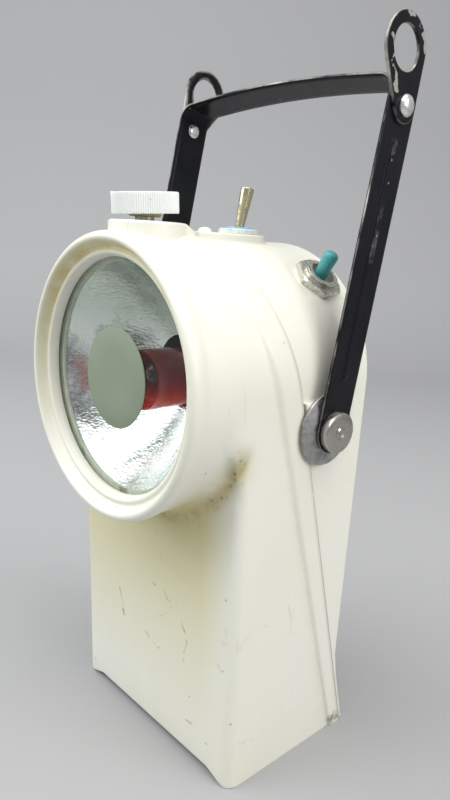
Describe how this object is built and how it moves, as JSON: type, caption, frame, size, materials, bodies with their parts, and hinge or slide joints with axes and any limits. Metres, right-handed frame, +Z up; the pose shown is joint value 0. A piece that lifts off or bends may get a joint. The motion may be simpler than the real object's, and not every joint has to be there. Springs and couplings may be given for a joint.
{
  "type": "railway hand lamp",
  "caption": "Upright battery hand lamp with a round lens, slanted rear cover, fluted selector knob, toggles and a folding strap handle.",
  "frame": {"origin": "on the floor under the middle of the lamp's box", "axes": "+Z up, +X to the right seen from the front, the lens looks along -Y"},
  "size_m": [0.141, 0.1188, 0.3286],
  "materials": {
    "casing": "satin cream moulding, worn and stained",
    "clear_glass": "clear, slightly dusty",
    "rubber": "black rubber",
    "disc_grey": "matt grey-green",
    "silver": "fine hammered silver",
    "zinc_steel": "dull zinc plate, dirty",
    "bulb": "clear bulb with a brass cap",
    "brass": "dull brass",
    "red": "dark translucent red",
    "black_plastic": "black moulding",
    "white_plastic": "white, yellowed at the hub",
    "nickel": "worn nickel plate",
    "teal_plastic": "teal moulding",
    "black_enamel": "black enamel with bare edges",
    "aluminium": "dull aluminium",
    "battery_skin": "plain wrapped battery",
    "lead_red": "red sleeve",
    "lead_black": "black sleeve",
    "lead_white": "white sleeve"
  },
  "bodies": {
    "casing": {"front_shell": "casing", "rear_cover": "casing", "lens_glass": "clear_glass", "lens_gasket": "rubber", "battery_pad": "rubber", "glare_disc": "disc_grey", "reflector": "silver", "snap_ring": "zinc_steel", "holder_bracket": "zinc_steel", "bracket_screws": "zinc_steel", "cover_screws": "zinc_steel", "pivot_nuts": "zinc_steel", "top_switch_body": "zinc_steel", "top_switch_nut": "zinc_steel", "side_switch_body": "zinc_steel", "side_switch_nut": "zinc_steel", "pivot_washers": "zinc_steel", "pivot_pins": "zinc_steel", "bulb": "bulb", "bulb_holder": "brass", "dome_plug": "white_plastic", "battery": "battery_skin", "lead_positive": "lead_red", "lead_negative": "lead_black", "lead_lamp": "lead_white"},
    "selector": {"selector_spindle": "zinc_steel", "selector_knob": "white_plastic"},
    "filter": {"filter_carrier": "black_plastic", "red_filter": "red"},
    "top_lever": {"top_switch_lever": "nickel"},
    "side_lever": {"side_switch_lever": "teal_plastic"},
    "bail_handle": {"handle": "black_enamel", "eye_rivets": "aluminium"},
    "right_eye": {"eye_plate_right": "black_enamel"},
    "left_eye": {"eye_plate_left": "black_enamel"}
  },
  "joints": [
    {"name": "selector_turn", "type": "hinge", "parent": "casing", "child": "selector", "pos_m": [0, -0.03915, 0.24], "axis": [0, 0, 1], "range_deg": [0, 39.28]},
    {"name": "filter_travel", "type": "slide", "parent": "casing", "child": "filter", "axis": [0, 1, 0], "range_m": [0, 0.013]},
    {"name": "top_toggle", "type": "hinge", "parent": "casing", "child": "top_lever", "pos_m": [0, 0.01385, 0.2415], "axis": [1, 0, 0], "range_deg": [0, 23]},
    {"name": "side_toggle", "type": "hinge", "parent": "casing", "child": "side_lever", "pos_m": [0.03903, 0.02665, 0.22411], "axis": [0, 1, 0], "range_deg": [0, 32]},
    {"name": "handle_swing", "type": "hinge", "parent": "casing", "child": "bail_handle", "pos_m": [0, 0.01335, 0.1634], "axis": [1, 0, 0], "range_deg": [-140, 145]},
    {"name": "right_eye_turn", "type": "hinge", "parent": "bail_handle", "child": "right_eye", "pos_m": [0, 0.03722, 0.29475], "axis": [1, 0, 0], "range_deg": [-125, 88]},
    {"name": "left_eye_turn", "type": "hinge", "parent": "bail_handle", "child": "left_eye", "pos_m": [0, 0.03722, 0.29475], "axis": [1, 0, 0], "range_deg": [-92, 122]}
  ],
  "couplings": [
    {"joint": "filter_travel", "follows": "selector_turn", "m_per_rad": 0.01896}
  ]
}
